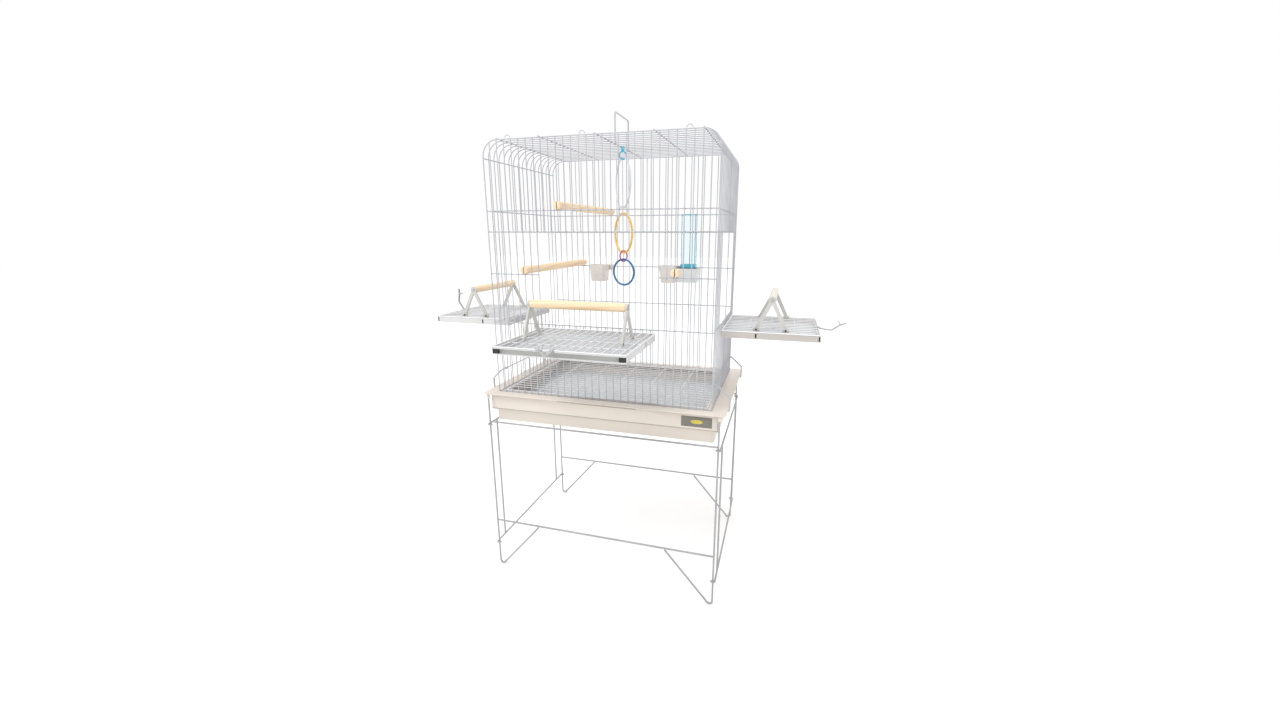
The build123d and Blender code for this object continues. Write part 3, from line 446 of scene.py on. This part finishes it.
pineValues = dict(early=(0.86, 0.68, 0.47), late=(0.74, 0.53, 0.32), rings=55.0)
paleValues = dict(early=(0.70, 0.655, 0.60), late=(0.60, 0.54, 0.47), rings=55.0)
quarter = math.radians(90)
mat["pineAcross"] = pineMaterial("pineAcross", pineValues, (0, quarter, 0))
mat["pineAlong"] = pineMaterial("pineAlong", pineValues, (quarter, 0, 0))
mat["palePine"] = pineMaterial("palePine", paleValues, (quarter, 0, 0))


clearValues = dict(tint=(0.93, 0.985, 1.0), hazeDetail=3.0, hazeScale=30.0, haze=(0.3, 0.75),
                   smooth=0.03, rough=0.12, strength=0.05, depth=0.0005, ior=1.06)


# clear tinted plastic with faint moulding haze
def clearMaterial(name, values):
    material, tree, shader, place = newMaterial(name)
    haze = addNoise(tree, place, values["hazeDetail"])
    haze.inputs["Scale"].default_value = values["hazeScale"]
    rough = addRange(tree, haze.outputs["Fac"], *values["haze"], values["smooth"], values["rough"])
    tree.links.new(rough, shader.inputs["Roughness"])
    ripple = addBump(tree, haze.outputs["Fac"], values["strength"], values["depth"])
    tree.links.new(ripple, shader.inputs["Normal"])
    shader.inputs["Base Color"].default_value = (*values["tint"], 1)
    shader.inputs["Transmission Weight"].default_value = 1.0
    shader.inputs["IOR"].default_value = values["ior"]
    return material


mat["tubeBlue"] = clearMaterial("tubeBlue", clearValues)
print("stage: materials", len(mat))


# camera and light
cameraValues = dict(place=(0.455, -1.381, 0.976), ahead=(-0.2698, 0.9311, -0.2455),
                    up=(-0.0683, 0.2358, 0.9694), lens=14.0, sensor=36.0, farthest=60.0)
bpy.ops.object.camera_add(location=cameraValues["place"])
camera = bpy.context.active_object
camera.name = "viewCamera"
ahead = Vector(cameraValues["ahead"]).normalized()
sideways = ahead.cross(Vector(cameraValues["up"])).normalized()
upright = sideways.cross(ahead).normalized()
turned = Matrix((sideways, upright, -ahead)).transposed().to_4x4()
camera.matrix_world = Matrix.Translation(Vector(cameraValues["place"])) @ turned
camera.data.lens = cameraValues["lens"]
camera.data.sensor_width = cameraValues["sensor"]
camera.data.clip_end = cameraValues["farthest"]
bpy.context.scene.camera = camera

lightValues = {
    "keyLight": dict(place=(-1.8, -2.6, 3.0), aim=(0, 0, 0.7), size=2.2, power=26.0),
    "fillLight": dict(place=(2.8, -1.6, 2.0), aim=(0, 0, 0.7), size=2.5, power=8.0),
    "topLight": dict(place=(0.4, 1.2, 3.4), aim=(0, 0, 0.8), size=2.5, power=16.0),
}
for name, values in lightValues.items():
    bpy.ops.object.light_add(type="AREA", location=values["place"])
    light = bpy.context.active_object
    light.name = name
    light.data.size = values["size"]
    light.data.energy = values["power"]
    toward = Vector(values["aim"]) - Vector(values["place"])
    light.rotation_euler = toward.to_track_quat("-Z", "Y").to_euler()

overheadValues = dict(place=(0, 0, 4.0), power=0.9, spread=40, tilt=(24, -14, 0))
bpy.ops.object.light_add(type="SUN", location=overheadValues["place"])
sky = bpy.context.active_object
sky.name = "overheadLight"
sky.data.energy = overheadValues["power"]
sky.data.angle = math.radians(overheadValues["spread"])
sky.rotation_euler = [math.radians(angle) for angle in overheadValues["tilt"]]

world = bpy.data.worlds.new("studioWorld")
bpy.context.scene.world = world
world.use_nodes = True
studioValues = dict(colour=(1.0, 1.0, 1.0, 1), strength=1.0, floorSize=40.0)
backdrop = world.node_tree.nodes["Background"]
backdrop.inputs["Color"].default_value = studioValues["colour"]
backdrop.inputs["Strength"].default_value = studioValues["strength"]
bpy.context.scene.view_settings.view_transform = "Standard"

clearPick()
bpy.ops.mesh.primitive_plane_add(size=studioValues["floorSize"], location=(0, 0, 0))
floor = named("studioFloor")
dress(floor, mat["floorPale"])
print("stage: camera, light, floor")


# wire work: the frame's own wires in powder coat; the walls, roof, clips and handle get a copy of the white
# coat darkened as painted shade, the door grids and floor grate a lighter copy painted as lit, and the stand
# frames a darker copy
wireNodes = [
    "stand_front_frame", "stand_back_frame", "stand_left_frame", "stand_right_frame", "floor_grate",
    "front_wall", "back_wall", "left_wall", "right_wall", "roof_panel", "roof_clips", "carry_handle",
    "front_door_grid", "left_door_grid", "right_door_grid",
    "base_clip_left_front", "base_clip_left_back", "base_clip_right_front", "base_clip_right_back",
]
# the door grids and floor grate get the lighter, painted-lit copy of the wire coat
litGridNodes = ["floor_grate", "front_door_grid", "left_door_grid", "right_door_grid"]
for node in wireNodes:
    wires = frame["nodes"][node]
    coat = mat["litWhiteWire" if node in litGridNodes else "whiteWire"]
    if node.startswith("stand_"):
        coat = mat["standWire"]
    if not wires.material_slots:
        wires.data.materials.append(coat)
    for place in wires.material_slots:
        place.material = coat
print("stage: wires", len(wireNodes))


# moulded base and litter drawer
baseValues = dict(panEdge=0.0012, drawerEdge=0.0009, segments=3, floorDrop=0.03)
softCopy("base_pan", "basePan", baseValues["panEdge"], baseValues["segments"], mat["creamBase"])
# painted shade under the drawer's lower edge and under the pan's rim, laid into the base's finish
stepShadeValues = dict(grime=(0.30, 0.26, 0.20), reach=0.0045, amount=0.6, stepBelow=0.0005, rimHeight=0.003)
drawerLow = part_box("litter_drawer")[0].z
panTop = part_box("base_pan")[1].z
addStepShades(mat["creamBase"],
         (drawerLow - stepShadeValues["stepBelow"], panTop - stepShadeValues["rimHeight"]), stepShadeValues)
drawer = softCopy("litter_drawer", "litterDrawer", baseValues["drawerEdge"], baseValues["segments"],
                  mat["creamBase"])


# faces that meet the rule get a second finish
def secondFinish(piece, material, rule):
    piece.data.materials.append(material)
    for face in piece.data.polygons:
        if rule(face.center, face.normal):
            face.material_index = len(piece.data.materials) - 1


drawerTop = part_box("litter_drawer")[1].z
secondFinish(drawer, mat["drawerFloor"],
             lambda spot, normal: (normal.z > helperValues["facing"]
                                   and spot.z < drawerTop - baseValues["floorDrop"]))
print("stage: base")


# blank label: a framed plate with a plain coloured field
labelValues = dict(rim=0.0022, sink=0.0004, edge=0.0002, smooth=30, fieldShare=0.4, fieldSides=48,
                   fieldBack=0.8)


def buildLabel():
    low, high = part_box("label_plate")
    size = high - low
    bpy.ops.mesh.primitive_cube_add(size=1.0, location=(low + high) / 2, scale=size)
    plate = named("labelPlate")
    applyPlace(plate)
    bpy.ops.object.mode_set(mode="EDIT")
    bpy.ops.mesh.select_all(action="DESELECT")
    bpy.ops.object.mode_set(mode="OBJECT")
    for face in plate.data.polygons:
        face.select = face.normal.y < -helperValues["facing"]
    bpy.ops.object.mode_set(mode="EDIT")
    bpy.ops.mesh.select_mode(type="FACE")
    bpy.ops.mesh.inset(thickness=labelValues["rim"], depth=0)
    bpy.ops.mesh.inset(thickness=labelValues["edge"], depth=-labelValues["sink"])
    bpy.ops.object.mode_set(mode="OBJECT")
    roundEdges(plate, labelValues["edge"], 2)
    smoothByAngle(plate, labelValues["smooth"])
    standFor(plate, "label_plate", mat["labelGrey"])
    fieldWide = size.x * labelValues["fieldShare"]
    fieldHigh = size.z * labelValues["fieldShare"]
    bpy.ops.mesh.primitive_cylinder_add(
        vertices=labelValues["fieldSides"], radius=0.5, depth=labelValues["sink"],
        location=((low.x + high.x) / 2, low.y + labelValues["sink"] * labelValues["fieldBack"],
                  (low.z + high.z) / 2),
        rotation=(quarter, 0, 0), scale=(fieldWide, fieldHigh, 1.0))
    field = named("labelField")
    applyPlace(field)
    roundEdges(field, labelValues["edge"] / 2, 2)
    smoothByAngle(field, labelValues["smooth"])
    dress(field, mat["labelYellow"])
    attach(field, bodyOf["label_plate"])


buildLabel()
print("stage: label")


# fold-down doors
doorValues = dict(trayEdge=0.0008, capEdge=0.0006, bracketEdge=0.0007, latchEdge=0.0006, perchEdge=0.0007,
                  screwEdge=0.0002, floorDrop=0.004, lip=0.004, channelReach=0.008, channelFacing=0.5)
plugValues = dict(radius=0.0026, depth=0.0012, sides=16, edge=0.0004, lift=0.0042, fromEnd=0.008, smooth=35)


# dark plugs in the outer side of each bracket foot
def buildFootPlugs(door, axis):
    plugs = []
    for number in (1, 2):
        low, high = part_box(f"{door}_perch_bracket_{number}")
        middle = (low + high) / 2
        doorLow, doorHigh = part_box(f"{door}_door_grid")
        outward = 1 if middle[axis] > (doorLow[axis] + doorHigh[axis]) / 2 else -1
        along = 1 - axis
        for end in (-1, 1):
            spot = Vector(middle)
            spot[axis] = high[axis] if outward > 0 else low[axis]
            spot[along] = (high if end > 0 else low)[along] - end * plugValues["fromEnd"]
            spot.z = low.z + plugValues["lift"]
            turn = (0, quarter, 0) if axis == 0 else (quarter, 0, 0)
            bpy.ops.mesh.primitive_cylinder_add(vertices=plugValues["sides"], radius=plugValues["radius"],
                                                depth=plugValues["depth"], location=spot, rotation=turn)
            plug = named("plugPart")
            applyPlace(plug)
            plugs.append(plug)
    piece = joined(plugs, door + "FootPlugs")
    roundEdges(piece, plugValues["edge"], 2)
    smoothByAngle(piece, plugValues["smooth"])
    dress(piece, mat["footPlugDark"])
    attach(piece, door + "_door")


# the tray's floor is greyer than its rim, and the inside of its channel is darkened further as painted shade
# in the recess
def darkenTray(door, piece, axis):
    low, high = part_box(door + "_door_tray")
    outAxis = 1 - axis
    outward = -1 if door != "right" else 1
    outer = low[outAxis] if outward < 0 else high[outAxis]

    def onFloor(spot, normal):
        return normal.z > helperValues["facing"] and spot.z < high.z - doorValues["floorDrop"]

    def inChannel(spot, normal):
        inside = (outer - spot[outAxis]) * outward
        facesOut = normal[outAxis] * outward > doorValues["channelFacing"]
        return doorValues["lip"] < inside < doorValues["channelReach"] and facesOut

    secondFinish(piece, mat["trayFloor"], onFloor)
    # painted shade inside the channel
    secondFinish(piece, mat["trayRecessShade"], inChannel)


slotValues = dict(fromEdge=0.156, width=0.0042, thick=0.0026, lip=0.0026, edge=0.0006, segments=3,
                  proud=0.00015, smooth=40)


# painted shade: dark strips that fill the slots in the tray's two side walls, where the open slots would read
# dark
def buildSlotStrips(door, axis):
    low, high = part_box(door + "_door_tray")
    outAxis = 1 - axis
    outward = 1 if door == "right" else -1
    outer = high[outAxis] if outward > 0 else low[outAxis]
    strips = []
    for side in (-1, 1):
        spot = (low + high) / 2
        spot[outAxis] = outer - outward * slotValues["fromEdge"]
        face = high[axis] if side > 0 else low[axis]
        spot[axis] = face - side * (slotValues["thick"] / 2 - slotValues["proud"])
        size = Vector((0, 0, high.z - low.z - 2 * slotValues["lip"]))
        size[outAxis] = slotValues["width"]
        size[axis] = slotValues["thick"]
        bpy.ops.mesh.primitive_cube_add(size=1.0, location=spot, scale=size)
        strip = named("stripPart")
        applyPlace(strip)
        strips.append(strip)
    piece = joined(strips, door + "SlotStrips")
    roundEdges(piece, slotValues["edge"], slotValues["segments"])
    smoothByAngle(piece, slotValues["smooth"])
    dress(piece, mat["trayCap"])
    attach(piece, door + "_door")


def buildDoor(door, axis, trayMaterial, perchMaterial):
    soft = [("door_tray", doorValues["trayEdge"], "tray_white", trayMaterial),
            ("tray_end_caps", doorValues["capEdge"], "tray_cap", mat["trayCap"]),
            ("door_latch", doorValues["latchEdge"], "latch_white", mat["latchWhite"]),
            ("perch_screws", doorValues["screwEdge"], "screw_steel", mat["screwSteel"]),
            ("door_perch", doorValues["perchEdge"], "pine", perchMaterial)]
    for part, edge, slot, material in soft:
        node = door + "_" + part
        piece = softCopy(node, camelName(node), edge, 2, material)
        if part == "door_tray":
            darkenTray(door, piece, axis)
    for number in (1, 2):
        node = f"{door}_perch_bracket_{number}"
        softCopy(node, camelName(node), doorValues["bracketEdge"], 2, mat["bracketWhite"])
    buildFootPlugs(door, axis)
    buildSlotStrips(door, axis)
    print("stage: door", door)


buildDoor("front", 0, mat["trayWhite"], mat["pineAcross"])
buildDoor("left", 1, mat["trayWhite"], mat["pineAlong"])
buildDoor("right", 1, mat["trayTaupe"], mat["palePine"])


# inner perches
perchValues = dict(edge=0.0007, segments=3)
for node in ("upper_perch", "lower_perch", "stub_perch"):
    softCopy(node, camelName(node), perchValues["edge"], perchValues["segments"], mat["pineAlong"])
print("stage: perches")


# feeding cups and drinker
drinkValues = {
    "feeding_cup_left": dict(edge=0.0007, segments=3, slot="cup_beige", finish="cupBeige"),
    "feeding_cup_right": dict(edge=0.0007, segments=3, slot="cup_beige", finish="cupBeige"),
    "drinker_trough": dict(edge=0.0007, segments=3, slot="trough_grey", finish="troughGrey"),
    "drinker_collar": dict(edge=0.0007, segments=3, slot="collar_teal", finish="collarTeal"),
    "drinker_tube": dict(edge=0.0004, segments=2, slot="tube_blue", finish="tubeBlue"),
}
for node, values in drinkValues.items():
    softCopy(node, camelName(node), values["edge"], values["segments"], mat[values["finish"]])

edgeValues = dict(radius=0.0011, inset=0.0013, sides=10, smooth=50)


# thick teal corners and top rim that make a clear tube's edges read dark: painted tint and shade standing in
# for what light does at a clear tube's edges
def buildTubeEdges():
    low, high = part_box("drinker_tube")
    inset = edgeValues["inset"]
    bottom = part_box("drinker_collar")[1].z
    left, right = low.x + inset, high.x - inset
    front, back = low.y + inset, high.y - inset
    top = high.z - inset
    bars = []
    for x in (left, right):
        for y in (front, back):
            bars.append(((x, y, (bottom + top) / 2), (0, 0, 0), top - bottom))
    for y in (front, back):
        bars.append((((left + right) / 2, y, top), (0, quarter, 0), right - left))
    for x in (left, right):
        bars.append(((x, (front + back) / 2, top), (quarter, 0, 0), back - front))
    parts = []
    for place, turn, length in bars:
        bpy.ops.mesh.primitive_cylinder_add(vertices=edgeValues["sides"], radius=edgeValues["radius"],
                                            depth=length, location=place, rotation=turn)
        part = named("edgePart")
        applyPlace(part)
        parts.append(part)
    piece = joined(parts, "drinkerTubeEdges")
    smoothByAngle(piece, edgeValues["smooth"])
    dress(piece, mat["tubeEdgeTeal"])
    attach(piece, bodyOf["drinker_tube"])


buildTubeEdges()
print("stage: cups and drinker")


# hanging toy: round rings on a hook
ringValues = dict(aroundSides=112, tubeSides=20, smooth=60, hookEdge=0.0005)
toyValues = {
    "toy_white_ring": dict(thick=0.005, turn=125, finish="toyWhite", slot="toy_white"),
    "toy_link": dict(thick=0.0035, turn=35, finish="toyWhite", slot="toy_white"),
    "toy_yellow_ring": dict(thick=0.006, turn=134, finish="toyYellow", slot="toy_yellow"),
    "toy_red_ring": dict(thick=0.004, turn=66, finish="toyRed", slot="toy_red"),
    "toy_blue_ring": dict(thick=0.006, turn=161, finish="toyBlue", slot="toy_blue"),
}


def buildRing(node, values):
    low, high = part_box(node)
    radius = (high.z - low.z - values["thick"]) / 2
    bpy.ops.mesh.primitive_torus_add(
        location=(low + high) / 2, rotation=(quarter, 0, math.radians(values["turn"])),
        major_radius=radius, minor_radius=values["thick"] / 2,
        major_segments=ringValues["aroundSides"], minor_segments=ringValues["tubeSides"])
    piece = named(camelName(node))
    applyPlace(piece)
    smoothByAngle(piece, ringValues["smooth"])
    standFor(piece, node, mat[values["finish"]])


for node, values in toyValues.items():
    buildRing(node, values)
softCopy("toy_hook", "toyHook", ringValues["hookEdge"], 2, mat["toyTeal"])
print("stage: toy")
